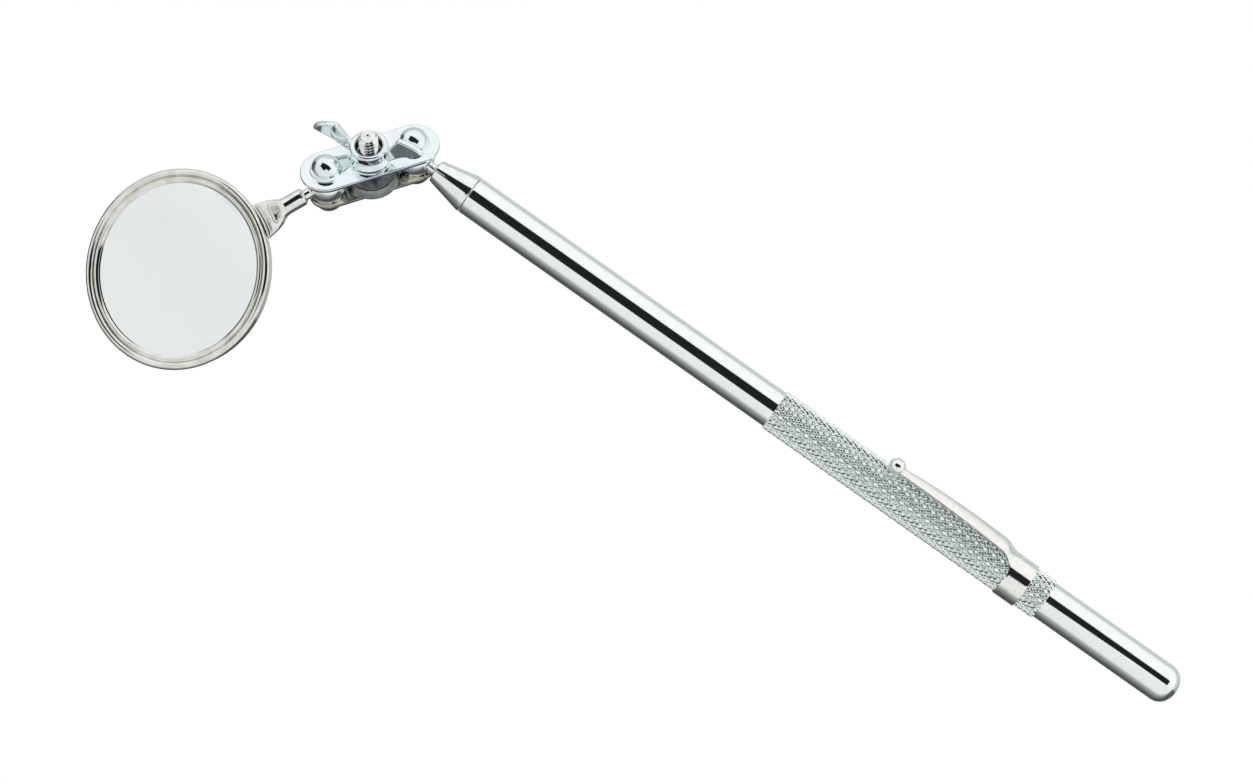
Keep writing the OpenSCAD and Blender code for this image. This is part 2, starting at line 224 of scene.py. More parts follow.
# ---------------------------------------------------------------- materials
def metal(name, dark, light, rough, blotch=900, grain=(1, 1, 1), grain_scale=6000, bump=0.12,
          depth=0.000004, ring_scale=0, ring_bump=0.2, ring_axis=0, metallic=1.0, on_cad=False):
    """Plated metal: blotches of tone, uneven polish, and fine scratches or turning marks.
    rough is the lowest and highest roughness. grain stretches the scratches along one axis."""
    m = bpy.data.materials.new(name)
    m.use_nodes = True
    nodes, links = m.node_tree.nodes, m.node_tree.links
    nodes.clear()
    out = nodes.new("ShaderNodeOutputMaterial")
    shader = nodes.new("ShaderNodeBsdfPrincipled")
    shader.inputs["Metallic"].default_value = metallic
    links.new(shader.outputs["BSDF"], out.inputs["Surface"])
    if on_cad:
        where = nodes.new("ShaderNodeTexCoord").outputs["Object"]
    else:
        local = nodes.new("ShaderNodeAttribute")
        local.attribute_name = LOCAL
        where = local.outputs["Vector"]
    tone = nodes.new("ShaderNodeTexNoise")
    tone.inputs["Scale"].default_value = blotch
    tone.inputs["Detail"].default_value = 6
    links.new(where, tone.inputs["Vector"])
    ramp = nodes.new("ShaderNodeValToRGB")
    ramp.color_ramp.elements[0].position = 0.3
    ramp.color_ramp.elements[0].color = (*dark, 1)
    ramp.color_ramp.elements[1].position = 0.62
    ramp.color_ramp.elements[1].color = (*light, 1)
    links.new(tone.outputs["Fac"], ramp.inputs["Fac"])
    links.new(ramp.outputs["Color"], shader.inputs["Base Color"])
    stretch = nodes.new("ShaderNodeMapping")
    stretch.inputs["Scale"].default_value = grain
    links.new(where, stretch.inputs["Vector"])
    fine = nodes.new("ShaderNodeTexNoise")
    fine.inputs["Scale"].default_value = grain_scale
    fine.inputs["Detail"].default_value = 4
    links.new(stretch.outputs["Vector"], fine.inputs["Vector"])
    polish = nodes.new("ShaderNodeMapRange")
    polish.inputs["From Min"].default_value = 0.35
    polish.inputs["From Max"].default_value = 0.7
    polish.inputs["To Min"].default_value = rough[0]
    polish.inputs["To Max"].default_value = rough[1]
    links.new(fine.outputs["Fac"], polish.inputs["Value"])
    links.new(polish.outputs["Result"], shader.inputs["Roughness"])
    relief = nodes.new("ShaderNodeBump")
    relief.inputs["Strength"].default_value = bump
    relief.inputs["Distance"].default_value = depth
    links.new(fine.outputs["Fac"], relief.inputs["Height"])
    if ring_scale:
        along = nodes.new("ShaderNodeMapping")
        along.inputs["Scale"].default_value = [1 if i == ring_axis else 0.004 for i in range(3)]
        links.new(where, along.inputs["Vector"])
        rings = nodes.new("ShaderNodeTexNoise")
        rings.inputs["Scale"].default_value = ring_scale
        rings.inputs["Detail"].default_value = 3
        links.new(along.outputs["Vector"], rings.inputs["Vector"])
        marks = nodes.new("ShaderNodeBump")
        marks.inputs["Strength"].default_value = ring_bump
        marks.inputs["Distance"].default_value = 0.00002
        links.new(rings.outputs["Fac"], marks.inputs["Height"])
        links.new(relief.outputs["Normal"], marks.inputs["Normal"])
        relief = marks
    links.new(relief.outputs["Normal"], shader.inputs["Normal"])
    return m


chrome = metal("chrome_tube", (0.93, 0.945, 0.945), (0.97, 0.98, 0.98), (0.03, 0.07),
               grain=(0.03, 1, 1), bump=0.10)
chrome_knurl = metal("chrome_knurl", (0.76, 0.84, 0.82), (0.92, 0.96, 0.95), (0.10, 0.2), bump=0.25)
chrome_turned = metal("chrome_turned", (0.86, 0.88, 0.88), (0.96, 0.97, 0.97), (0.05, 0.10),
                      ring_scale=4200, ring_bump=0.5)
chrome_ball = metal("chrome_ball", (0.9, 0.93, 0.94), (0.96, 0.98, 0.98), (0.03, 0.07))
nickel_clip = metal("nickel_clip", (0.9, 0.875, 0.835), (0.97, 0.955, 0.925), (0.05, 0.10),
                    grain=(0.05, 1, 1))
zinc_plate = metal("zinc_plate", (0.80, 0.875, 0.89), (0.88, 0.95, 0.96), (0.03, 0.08), blotch=500)
zinc_under = metal("zinc_under", (0.5, 0.48, 0.38), (0.7, 0.69, 0.6), (0.08, 0.18), blotch=450)
# Near-black zinc for the inside of the nut's bore: painted shade for the shadow in that recess
nut_bore_painted_shade = metal("nut_bore_painted_shade", (0.12, 0.13, 0.13), (0.3, 0.33, 0.32), (0.15, 0.3), bump=0.4)
zinc_nut = metal("zinc_nut", (0.76, 0.82, 0.83), (0.9, 0.945, 0.95), (0.05, 0.12), blotch=700,
                 bump=0.25, depth=0.000006)
steel_screw = metal("steel_screw", (0.72, 0.74, 0.73), (0.93, 0.95, 0.95), (0.08, 0.18), bump=0.3)
# Dark base colour for the collar: painted shade that stands for the shadow between the clamp plates
collar_painted_shade = metal("collar_painted_shade", (0.26, 0.275, 0.28), (0.40, 0.42, 0.425), (0.3, 0.42), bump=0.3,
                     ring_scale=3000, ring_axis=2)
nickel_stem = metal("nickel_stem", (0.78, 0.775, 0.74), (0.93, 0.925, 0.9), (0.04, 0.10),
                    grain=(0.05, 1, 1))
nickel_rim = metal("nickel_rim", (0.70, 0.685, 0.64), (0.86, 0.845, 0.80), (0.03, 0.09), blotch=500)
brass = metal("brass_bush", (0.62, 0.47, 0.2), (0.8, 0.66, 0.36), (0.2, 0.36), grain=(0.1, 1, 1),
              on_cad=True)
silvered = metal("silvered_glass", (0.935, 0.94, 0.945), (0.95, 0.955, 0.96), (0.015, 0.03),
                 blotch=300, bump=0.02)
foam = metal("foam_pad", (0.03, 0.03, 0.032), (0.07, 0.07, 0.075), (0.8, 0.95), blotch=2500,
             grain_scale=9000, bump=0.8, depth=0.00005, metallic=0.0, on_cad=True)


# ---------------------------------------------------------------- handle
GRIP_LEN = 51.7
GRIP_R = 3.475
BAND_X, BAND_W = 3.6, 3.8
STARTS = 23
KNURL_PITCH = 1.65
KNURL_DEPTH = 0.27
KNURL_STEPS = ((0.0, 0.0), (0.18, 0.72), (0.33, 1.0), (0.67, 1.0), (0.82, 0.72))


def add_knurl(bm):
    """Diamond-knurled sleeve, as a closed shell that is sunk into the tube's wall."""
    per = len(KNURL_STEPS)
    turn = STARTS * per

    def height(i):
        return KNURL_STEPS[i % per][1]

    def at(i):
        return i // per + KNURL_STEPS[i % per][0]

    made = {}

    def vert(i, j):
        wrap = (i + j) // (2 * turn)
        key = (i - wrap * turn, j - wrap * turn)
        if key not in made:
            i, j = key
            angle = pi * (at(i) + at(j)) / STARTS
            x = KNURL_PITCH * (at(i) - at(j)) / 2
            end = min(x, GRIP_LEN - x)
            r = GRIP_R - KNURL_DEPTH * (1 - min(height(i), height(j)))
            r = min(r, GRIP_R - 0.16 + max(0, end))
            if BAND_X - 0.02 < x < BAND_X + BAND_W + 0.02:
                r = min(r, GRIP_R - 0.06)
            made[key] = bm.verts.new((x, r * cos(angle), r * sin(angle)))
        return made[key]

    spread = int(ceil(2 * GRIP_LEN / KNURL_PITCH)) + 3
    for diff in range(-3 * per, spread * per):
        for total in range(2 * turn):
            if (diff + total) % 2:
                continue
            i, j = (total + diff) // 2, (total - diff) // 2
            x = KNURL_PITCH * (at(i) - at(j)) / 2
            if -1.5 < x < GRIP_LEN + 1.5:
                bm.faces.new((vert(i, j), vert(i + 1, j), vert(i + 1, j + 1), vert(i, j + 1)))
    for x, normal in ((0, (-1, 0, 0)), (GRIP_LEN, (1, 0, 0))):
        bmesh.ops.bisect_plane(bm, geom=bm.verts[:] + bm.edges[:] + bm.faces[:], dist=1e-5,
                               plane_co=(x, 0, 0), plane_no=normal, clear_outer=True)
    rims = [e for e in bm.edges if e.is_boundary]
    sunk = bmesh.ops.extrude_edge_only(bm, edges=rims)["geom"]
    for v in [g for g in sunk if isinstance(g, bmesh.types.BMVert)]:
        scale = (TUBE_R - 0.1) / sqrt(v.co.y ** 2 + v.co.z ** 2)
        v.co = (v.co.x, v.co.y * scale, v.co.z * scale)
    bmesh.ops.bridge_loops(bm, edges=[e for e in bm.edges if e.is_boundary])


bm = bmesh.new()
add_knurl(bm)
place("grip_knurl", to_mesh(bm, "grip_knurl"), at_handle, "handle", "handle_tube",
      chrome_knurl, sharp=28)

TAIL_ROUND = 2.75
MOUTH_R = 2.655
PLUG_LEN = 4.4
tail_seam = TAIL_X + TAIL_ROUND
bm = bmesh.new()
add_turned(bm, rounded([(BORE_R, tail_seam), (TUBE_R, tail_seam), (TUBE_R, MOUTH_X, 0.15),
                        (MOUTH_R, MOUTH_X, 0.05), (MOUTH_R, MOUTH_X - LIP_LEN),
                        (BORE_R, MOUTH_X - LIP_END)],
                       closed=True), "X", 160, closed=True)
place("outer_tube", to_mesh(bm, "outer_tube"), at_handle, "handle", "handle_tube", chrome)

# The tail's end is a dome that is a little squarer than an ellipse
dome = []
for i in range(25):
    a = radians(90 * i / 24)
    dome.append((TUBE_R * max(0, cos(a)) ** 0.94, tail_seam - TAIL_ROUND * sin(a) ** 0.94))
dome[-1] = (0, TAIL_X)
bm = bmesh.new()
add_turned(bm, [(0, tail_seam + PLUG_LEN), (BORE_R - 0.2, tail_seam + PLUG_LEN),
                (BORE_R - 0.02, tail_seam + 4.1),
                (BORE_R - 0.02, tail_seam + 0.02)] + dome, "X", 160)
place("tail_dome", to_mesh(bm, "tail_dome"), at_handle, "handle", "tail_plug", chrome)

# ---------------------------------------------------------------- pocket clip
CLIP_TURN = 50
SHEET = 0.3
BAND_R = GRIP_R - 0.05 + SHEET / 2
STEP_END = 10.2
ARM_MID, ARM_END = 20.6, 31.0
ARM_H, ARM_BOW = 4.6, 0.4
ARM_CURVE_R = 7
ARM_ROOT, ARM_TIP = 1.5, 0.75
BAND_OPEN = 0.8
SWEEP = 1.8
CLIP_BALL_R = 1.35
band_front = BAND_X + BAND_W


def smooth(t):
    """Eased step from 0 to 1."""
    t = max(0, min(1, t))
    return t * t * (3 - 2 * t)


def clip_point(x, s, side):
    """Point of the clip's sheet at station x and at s across it, on its outer (+1) or inner (-1) face."""
    t = smooth((x - band_front) / (STEP_END - band_front))
    high = BAND_R + (ARM_H - BAND_R) * t
    if x > STEP_END:
        high += ARM_BOW * (1 - ((x - ARM_MID) / (ARM_MID - STEP_END)) ** 2)
    r = 1 / (1 / BAND_R + (1 / ARM_CURVE_R - 1 / BAND_R) * t)
    off = side * SHEET / 2
    return (x, (r + off) * sin(s / r), high - r + (r + off) * cos(s / r))


def clip_front(s):
    """Front edge of the band at s across the sheet: it sweeps forward into the arm."""
    d = max(0, abs(s) - ARM_ROOT)
    if d >= SWEEP:
        return band_front
    return band_front + SWEEP * (1 - sqrt(1 - (1 - d / SWEEP) ** 2))


far = BAND_R * pi - BAND_OPEN
outer_cols = [ARM_ROOT + d for d in (0.08, 0.2, 0.36, 0.56, 0.8, 1.1, 1.45, 1.8)]
outer_cols += [outer_cols[-1] + (far - outer_cols[-1]) * k / 22 for k in range(1, 23)]
inner_cols = [ARM_ROOT * k / 5 for k in range(-5, 6)]
columns = [-c for c in reversed(outer_cols)] + inner_cols + outer_cols
bm = bmesh.new()
for side in (1, -1):
    rows = []
    for k in range(13):
        rows.append([bm.verts.new(clip_point(BAND_X + (clip_front(s) - BAND_X) * k / 12, s, side))
                     for s in columns])
    add_grid(bm, rows)
    first = len(outer_cols)
    last_row = rows[-1][first:first + len(inner_cols)]
    arm_rows = [last_row]
    start = band_front + SWEEP
    for k in range(1, 61):
        x = start + (ARM_END - start) * k / 60
        width = ARM_ROOT + (ARM_TIP - ARM_ROOT) * smooth(0.5 * (x - start) / (ARM_END - start)) * 2
        arm_rows.append([bm.verts.new(clip_point(x, c * width / ARM_ROOT, side)) for c in inner_cols])
    add_grid(bm, arm_rows)
bm.verts.ensure_lookup_table()
half = len(bm.verts) // 2
bm.verts.index_update()
edge_pairs = [(e.verts[0].index, e.verts[1].index) for e in bm.edges if e.is_boundary]
for a, b in edge_pairs:
    if a < half and b < half:
        bm.faces.new((bm.verts[a], bm.verts[b], bm.verts[b + half], bm.verts[a + half]))
bmesh.ops.recalc_face_normals(bm, faces=bm.faces)
corner_edges = [e for e in bm.edges if len(e.link_faces) == 2 and e.calc_face_angle() > radians(60)]
bmesh.ops.bevel(bm, geom=corner_edges, offset=0.06, segments=2, affect="EDGES", profile=0.5)
ball_outline = [(CLIP_BALL_R * sin(radians(7.5 * i)), -CLIP_BALL_R * cos(radians(7.5 * i)))
                for i in range(25)]
ball_outline[0], ball_outline[-1] = (0, -CLIP_BALL_R), (0, CLIP_BALL_R)
before = set(bm.verts)
add_turned(bm, ball_outline, "X", 48)
bmesh.ops.translate(bm, verts=[v for v in bm.verts if v not in before],
                    vec=(ARM_END, 0, GRIP_R + CLIP_BALL_R + RUN_GAP))
place("pocket_clip_spring", to_mesh(bm, "pocket_clip_spring"),
      Matrix.Rotation(radians(CLIP_TURN), 4, "X"), "handle", "pocket_clip", nickel_clip,
      sharp=40)

# ---------------------------------------------------------------- telescoping sections
# body, outer radius, inner radius
SECTIONS = (("section_1", 2.605, 2.205), ("section_2", 2.035, 1.635))
for body, outer_r, inner_r in SECTIONS:
    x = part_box(body + "_tube")[0].x / MM
    lip = inner_r - 0.12
    bm = bmesh.new()
    add_turned(bm, rounded([(inner_r, x), (outer_r, x, 0.1), (outer_r, MOUTH_X, 0.12),
                            (lip, MOUTH_X, 0.04), (lip, MOUTH_X - LIP_LEN), (inner_r, MOUTH_X - LIP_END)],
                           closed=True), "X", 128, closed=True)
    place(body + "_drawn_tube", to_mesh(bm, body), at_handle, body, body + "_tube", chrome)

ROD_R = 1.465
SOCKET_X = CONE_X + 4
PAST_BALL = 1.5
bm = bmesh.new()
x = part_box("section_3_rod")[0].x / MM
add_turned(bm, rounded([(0, x), (ROD_R, x, 0.15), (ROD_R, SOCKET_X), (0, SOCKET_X)]), "X", 96)
place("section_3_bar", to_mesh(bm, "section_3_bar"), at_handle, "section_3", "section_3_rod",
      chrome)

CONE_LEN = 6.4
CONE_END = CONE_X + CONE_LEN
CONE_TIP_R = 1.85
bm = bmesh.new()
add_turned(bm, rounded([(0, SOCKET_X), (ROD_R, SOCKET_X), (ROD_R, CONE_X), (TUBE_R, CONE_X, 0.08),
                        (TUBE_R, CONE_X + 0.5, 0.12), (CONE_TIP_R, CONE_END, 0.15),
                        (NECK_R, CONE_END + 0.3, 0.2), (NECK_R, BALL_X + PAST_BALL, 0.1),
                        (0, BALL_X + PAST_BALL)]), "X", 160)
place("nose_taper", to_mesh(bm, "nose_taper"), at_handle, "section_3", "nose_cone",
      chrome_turned)


# ---------------------------------------------------------------- ball joint
BALL_BORE_END = 1.7


def ball_mesh(name):
    """Ball with a blind bore for its neck, which comes in along -X."""
    bore = NECK_R + RUN_GAP
    start = degrees(asin(bore / BALL_R))
    shell = [(BALL_R * sin(radians(a)), -BALL_R * cos(radians(a)))
             for a in [start + (180 - start) * i / 48 for i in range(48)]]
    bm = bmesh.new()
    add_turned(bm, [(0, BALL_BORE_END), (bore, BALL_BORE_END)] + shell + [(0, BALL_R)], "X", 96)
    return to_mesh(bm, name)


place("handle_ball_sphere", ball_mesh("handle_ball_sphere"), Matrix.Translation(ball_1), "inner_ball",
      "handle_ball", chrome_ball)
place("mirror_ball_sphere", ball_mesh("mirror_ball_sphere"), at_stem @ Matrix.Rotation(pi, 4, "Z"),
      "outer_ball", "mirror_ball", chrome_ball)

PLATE_FACE, PLATE_T = 3.02, 0.67
PLATE_EDGE = 0.2
CUP_R = BALL_R + RUN_GAP
UPPER_W, LOWER_W = 8.1, 6.0
DOME_R, DOME_Z = 2.35, 3.32
DOME_STEEP = 72
DOME_FOOT = 2.62
CAVITY_R = DOME_R - PLATE_T
dome_side = DOME_R * sin(radians(DOME_STEEP))
dome_side_z = DOME_Z + DOME_R * cos(radians(DOME_STEEP))


def dome_height(d):
    """Outer face at a distance from a ball's centre line: a round dome, a fillet, and the flat."""
    if d <= dome_side:
        return DOME_Z + sqrt(DOME_R ** 2 - d ** 2)
    if d >= DOME_FOOT:
        return PLATE_FACE
    t = (DOME_FOOT - d) / (DOME_FOOT - dome_side)
    return PLATE_FACE + (dome_side_z - PLATE_FACE) * (1 - sqrt(1 - t ** 2.2)) ** 0.9


def seat_height(d):
    """Inner face: the hollow of the dome, the ball's seat, and the flat."""
    if d < CAVITY_R - RUN_GAP:
        return DOME_Z + sqrt(CAVITY_R ** 2 - d ** 2)
    if d < CUP_R:
        return max(PLATE_FACE - PLATE_T, sqrt(CUP_R ** 2 - d ** 2))
    return PLATE_FACE - PLATE_T


def plate_mesh(name, width):
    """Pressed plate: a strip with round ends, rounded edges, a dome over each ball and a screw hole."""
    half_w = width / 2
    around, across = 96, 12
    radial = [DOME_R * sin(radians(DOME_STEEP * i / 20)) for i in range(1, 21)]
    radial += [dome_side + (DOME_FOOT - dome_side) * t
               for t in (0.05, 0.12, 0.22, 0.34, 0.48, 0.64, 0.82, 1)]
    flat = half_w - PLATE_EDGE - 0.1
    radial += [r for r in (2.7, 2.8, 2.95, 3.1, 3.3, 3.5) if r < flat]
    radial += [half_w - d for d in (0.24, 0.18, 0.12, 0.07, 0.03, 0.01, 0)]
    bm = bmesh.new()

    def surface(x, y, top):
        spine = max(0, min(PITCH, x))
        inset = max(0, half_w - sqrt((x - spine) ** 2 + y ** 2))
        edge = max(0, PLATE_EDGE - inset)
        drop = PLATE_EDGE - sqrt(max(0, PLATE_EDGE ** 2 - edge ** 2))
        d = min(sqrt((x - cx) ** 2 + y ** 2) for cx in (0, PITCH))
        return dome_height(d) - drop if top else seat_height(d) + drop * 0.6

    loops = {}
    for top in (True, False):
        discs = []
        for cx in (0, PITCH):
            rings = []
            for r in radial:
                ring = []
                for i in range(around):
                    a = 2 * pi * i / around
                    p, q = cx + r * cos(a), r * sin(a)
                    ring.append(bm.verts.new((p, q, surface(p, q, top))))
                rings.append(ring)
            pole = bm.verts.new((cx, 0, surface(cx, 0, top)))
            for i in range(around):
                bm.faces.new((pole, rings[0][i], rings[0][(i + 1) % around]))
            add_grid(bm, rings, wrap=True)
            discs.append(rings[-1])
        quarter = around // 4
        lines = []
        for k in range(-quarter, quarter + 1):
            a, b = discs[0][k % around], discs[1][(2 * quarter - k) % around]
            line = [a]
            for i in range(1, across):
                p = a.co.lerp(b.co, i / across)
                line.append(bm.verts.new((p.x, p.y, surface(p.x, p.y, top))))
            line.append(b)
            lines.append(line)
        add_grid(bm, lines)
        left = [discs[0][i % around] for i in range(quarter, 3 * quarter + 1)]
        right = [discs[1][i % around] for i in range(-quarter, quarter + 1)]
        loops[top] = lines[-1][::-1] + left[1:-1] + lines[0] + right[1:-1]
    add_grid(bm, [loops[True], loops[False]], wrap=True)
    plate = to_mesh(bm, name)
    bm = bmesh.new()
    add_turned(bm, [(0, 0), (SCREW_R + FREE_GAP, 0), (SCREW_R + FREE_GAP, 6), (0, 6)], "Z", 64)
    bmesh.ops.translate(bm, verts=bm.verts, vec=(PITCH / 2, 0, 0))
    return cut_away(plate, to_mesh(bm, "hole"))


place("upper_plate_pressing", plate_mesh("upper_plate_pressing", UPPER_W), at_clamp, "upper_plate",
      "clamp_plate_upper", zinc_plate)
place("lower_plate_pressing", plate_mesh("lower_plate_pressing", LOWER_W),
      at_clamp @ Matrix.Rotation(pi, 4, "X"), "clamp", "clamp_plate_lower", zinc_under)

# Collar: a turned cup round the screw; its dark base colour is painted shade from the gap between the plates
plate_in = PLATE_FACE - PLATE_T
COLLAR_BASE_R, COLLAR_TOP_R, COLLAR_TOP = 4.3, 3.9, -0.7
bm = bmesh.new()
add_turned(bm, rounded([(SCREW_R, -plate_in), (COLLAR_BASE_R, -plate_in, 0.15),
                        (COLLAR_TOP_R, COLLAR_TOP, 0.12), (3.35, COLLAR_TOP, 0.12), (3.1, -1.7, 0.2),
                        (SCREW_R, -1.75)], closed=True),
           "Z", 128, closed=True)
place("painted_shade_collar", to_mesh(bm, "painted_shade_collar"), at_post, "clamp", "spacer_collar",
      collar_painted_shade)

# Screw: thread, pointed end with a centre mark, slotted head
THREAD = 0.635
THREAD_R = 1.17
THREAD_FROM = 0.5
SCREW_PROUD = 1.95
HUB_H, NUT_Z = 3.0, PLATE_FACE + FREE_GAP
SCREW_TOP = NUT_Z + HUB_H + SCREW_PROUD
TIP_RUN, TIP_DROP = 0.55, 0.45


def thread_radius(z, a):
    """Radius of the thread at a height and an angle, drawn in towards the screw's tip."""
    t = abs((z / THREAD - a / (2 * pi)) % 1 - 0.5) * 2
    r = THREAD_R + (SCREW_R - THREAD_R) * max(0, min(1, (t - 0.1) / 0.78))
    limit = SCREW_R - smooth((z - SCREW_TOP + TIP_RUN) / TIP_RUN) * TIP_DROP
    return min(r, limit)


bm = bmesh.new()
ring_count = int((SCREW_TOP - THREAD_FROM) / 0.035)
rows = []
for k in range(ring_count + 1):
    z = THREAD_FROM + (SCREW_TOP - THREAD_FROM) * k / ring_count
    row = []
    for i in range(96):
        a = 2 * pi * i / 96
        r = thread_radius(z, a)
        row.append(bm.verts.new((r * cos(a), r * sin(a), z)))
    rows.append(row)
for r, z in ((0.95, 0.06), (0.75, 0.09), (0.5, 0.07), (0.42, -0.02), (0.2, -0.16)):
    rows.append([bm.verts.new((r * cos(2 * pi * i / 96), r * sin(2 * pi * i / 96), SCREW_TOP - 0.09 + z))
                 for i in range(96)])
add_grid(bm, rows, wrap=True)
tip = bm.verts.new((0, 0, SCREW_TOP - 0.3))
foot = bm.verts.new((0, 0, THREAD_FROM))
for i in range(96):
    bm.faces.new((tip, rows[-1][i], rows[-1][(i + 1) % 96]))
    bm.faces.new((foot, rows[0][i], rows[0][(i + 1) % 96]))
threaded = to_mesh(bm, "threaded")
HEAD_R, HEAD_H, CROWN_R = 2.9, 1.29, 4.2
SLOT_W, SLOT_CUT = 0.7, 1.2
bm = bmesh.new()
crown = [(CROWN_R * sin(radians(a)), -PLATE_FACE - HEAD_H + CROWN_R * (1 - cos(radians(a))))
         for a in range(0, 42, 3)]
add_turned(bm, rounded(crown + [(HEAD_R, -PLATE_FACE - 0.1, 0.06), (HEAD_R, -PLATE_FACE),
                                (SCREW_R, -PLATE_FACE), (SCREW_R, THREAD_FROM + 0.1),
                                (0, THREAD_FROM + 0.1)]), "Z", 96)
shank = to_mesh(bm, "shank")
bm = bmesh.new()
bmesh.ops.create_cube(bm, size=1)
bmesh.ops.scale(bm, verts=bm.verts, vec=(8, SLOT_W, SLOT_CUT))
bmesh.ops.translate(bm, verts=bm.verts, vec=(0, 0, -PLATE_FACE - HEAD_H))
shank = cut_away(shank, to_mesh(bm, "slot"))
bm = bmesh.new()
bm.from_mesh(shank)
bm.from_mesh(threaded)
place("clamp_screw_threaded", to_mesh(bm, "clamp_screw_threaded"), at_post, "clamp", "clamp_screw",
      steel_screw)

# Wing nut: hub and wings run together like a forging, with painted shade darkening the mouth of its bore
HUB_R, HUB_FOOT_R, HUB_BORE_R = 3.1, 3.45, 2.1
bm = bmesh.new()
add_turned(bm, rounded([(SCREW_R + FREE_GAP, 0), (3.4, 0, 0.1), (HUB_FOOT_R, 0.4, 0.25),
                        (2.95, 1.3, 0.8), (HUB_R, HUB_H, 0.5), (HUB_BORE_R, HUB_H, 0.46),
                        (HUB_BORE_R, 1.3, 0.2), (SCREW_R + FREE_GAP, 1.1)],
                       closed=True), "Z", 96, closed=True)
WING_T, WING_TURN = 1.0, -41
# A wing, as reach and height above the nut's base: inner foot, outer corner, bulge, upper corner
wing = [(2.5, 0.72), (3.3, 0.72), (5.6, 2.37)]
wing += arc(8.6, 4.15, 0.48, -65, 35, 10) + [(8.35, 4.95), (7.75, 5.28), (6.8, 5.65)]
wing += arc(5.45, 5.4, 0.58, 72, 139, 10) + [(3.0, 2.5), (2.5, 2.5)]
wing_mid = Vector((6.2, 4.0))
for side in (0, 1):
    turn = Matrix.Rotation(radians(WING_TURN + 180 * side), 4, "Z")
    loops = []
    # places through the wing's thickness, and how far the outline is drawn in there
    for y, inset in ((-0.5, 0.16), (-0.42, 0.05), (-0.3, 0.0), (0.3, 0.0), (0.42, 0.05), (0.5, 0.16)):
        loop = []
        for px, pz in wing:
            d = wing_mid - Vector((px, pz))
            d = d.normalized() * inset if px > 3.2 else Vector((0, 0))
            loop.append(bm.verts.new(turn @ Vector((px + d.x, y * WING_T, pz + d.y))))
        loops.append(loop)
    add_grid(bm, loops, wrap=True)
    bm.faces.new(loops[0])
    bm.faces.new(loops[-1])
nut = with_modifiers(to_mesh(bm, "nut_rough"),
                     ("REMESH", {"mode": "VOXEL", "voxel_size": 0.06}),
                     ("SMOOTH", {"factor": 0.5, "iterations": 6}))
# Faces inside the nut's bore, which get the painted-shade material
mouth = [sqrt(p.center.x ** 2 + p.center.y ** 2) < HUB_BORE_R + 0.14 and p.center.z < HUB_H - 0.5
         for p in nut.polygons]
place("wing_nut_forging", nut, at_post @ Matrix.Translation((0, 0, NUT_Z * MM)), "nut", "wing_nut",
      zinc_nut, sharp=60)
nut.materials.append(nut_bore_painted_shade)
nut.polygons.foreach_set("material_index", [int(m) for m in mouth])

# ---------------------------------------------------------------- mirror
# Stem: a round shank that flattens into a fishtail on the cup's back
CUP_DEPTH, MIRROR_R = 2.9, 15.875
TAIL_T, TAIL_OUT = 0.9, 0.5
shank_to = REACH - MIRROR_R - 3.6
tail_x = REACH - (MIRROR_R + TAIL_OUT) * cos(CANT) - CUP_DEPTH * sin(CANT)
tail_z = (MIRROR_R + TAIL_OUT) * sin(CANT) - CUP_DEPTH * cos(CANT)


def tail_point(run):
    """Middle of the tail's thickness at a run along the cup's back, on the stem's axes."""
    x = tail_x + run * cos(CANT) - TAIL_T / 2 * sin(CANT)
    return x, tail_z - run * sin(CANT) - TAIL_T / 2 * cos(CANT)


# station, height of the middle, half width, half thickness, squareness, pitch in degrees
stations = [(-PAST_BALL, 0, NECK_R, NECK_R, 2, 0), (3.95, 0, NECK_R, NECK_R, 2, 0), (4.08, 0, 1.0, 1.0, 2, 0),
            (4.35, 0, 1.34, 1.34, 2, 0), (4.5, 0, 1.4, 1.4, 2, 0), (6.6, 0, 1.4, 1.4, 2, 0),
            (shank_to - 0.6, 0, 1.42, 1.4, 2, 0), (shank_to, 0, 1.5, 1.36, 2.2, 0),
            (shank_to + 0.4, -0.08, 1.72, 1.15, 3, 1), (shank_to + 0.8, -0.18, 1.98, 0.95, 4, 3),
            (shank_to + 1.6, -0.34, 2.35, 0.68, 5.5, 6), (shank_to + 2.2, -0.41, 2.58, 0.52, 6, 8)]
# run along the cup's back, and half width there
for run, w in ((0.0, 2.75), (0.4, 2.85), (1.2, 2.95), (3.0, 3.0), (5.0, 3.0), (6.0, 2.83), (6.8, 2.4),
               (7.4, 1.8), (7.75, 1.2), (7.95, 0.6), (8.0, 0.25)):
    x, z = tail_point(run)
    stations.append((x, z, w, TAIL_T / 2 - 0.01, 6, degrees(CANT)))
bm = bmesh.new()
rows = []
for x, z, a, b, power, pitch in stations:
    tilt = Matrix.Rotation(radians(pitch), 3, "Y")
    row = []
    for i in range(72):
        t = 2 * pi * i / 72
        c, s = cos(t), sin(t)
        p = Vector((0, a * abs(c) ** (2 / power) * (1 if c >= 0 else -1),
                    b * abs(s) ** (2 / power) * (1 if s >= 0 else -1)))
        row.append(bm.verts.new(Vector((x, 0, z)) + tilt @ p))
    rows.append(row)
add_grid(bm, rows, wrap=True)
bm.faces.new(rows[0])
bm.faces.new(rows[-1])
place("mirror_stem_fishtail", to_mesh(bm, "mirror_stem_fishtail"), at_stem, "mirror_head", "mirror_stem",
      nickel_stem, sharp=38)

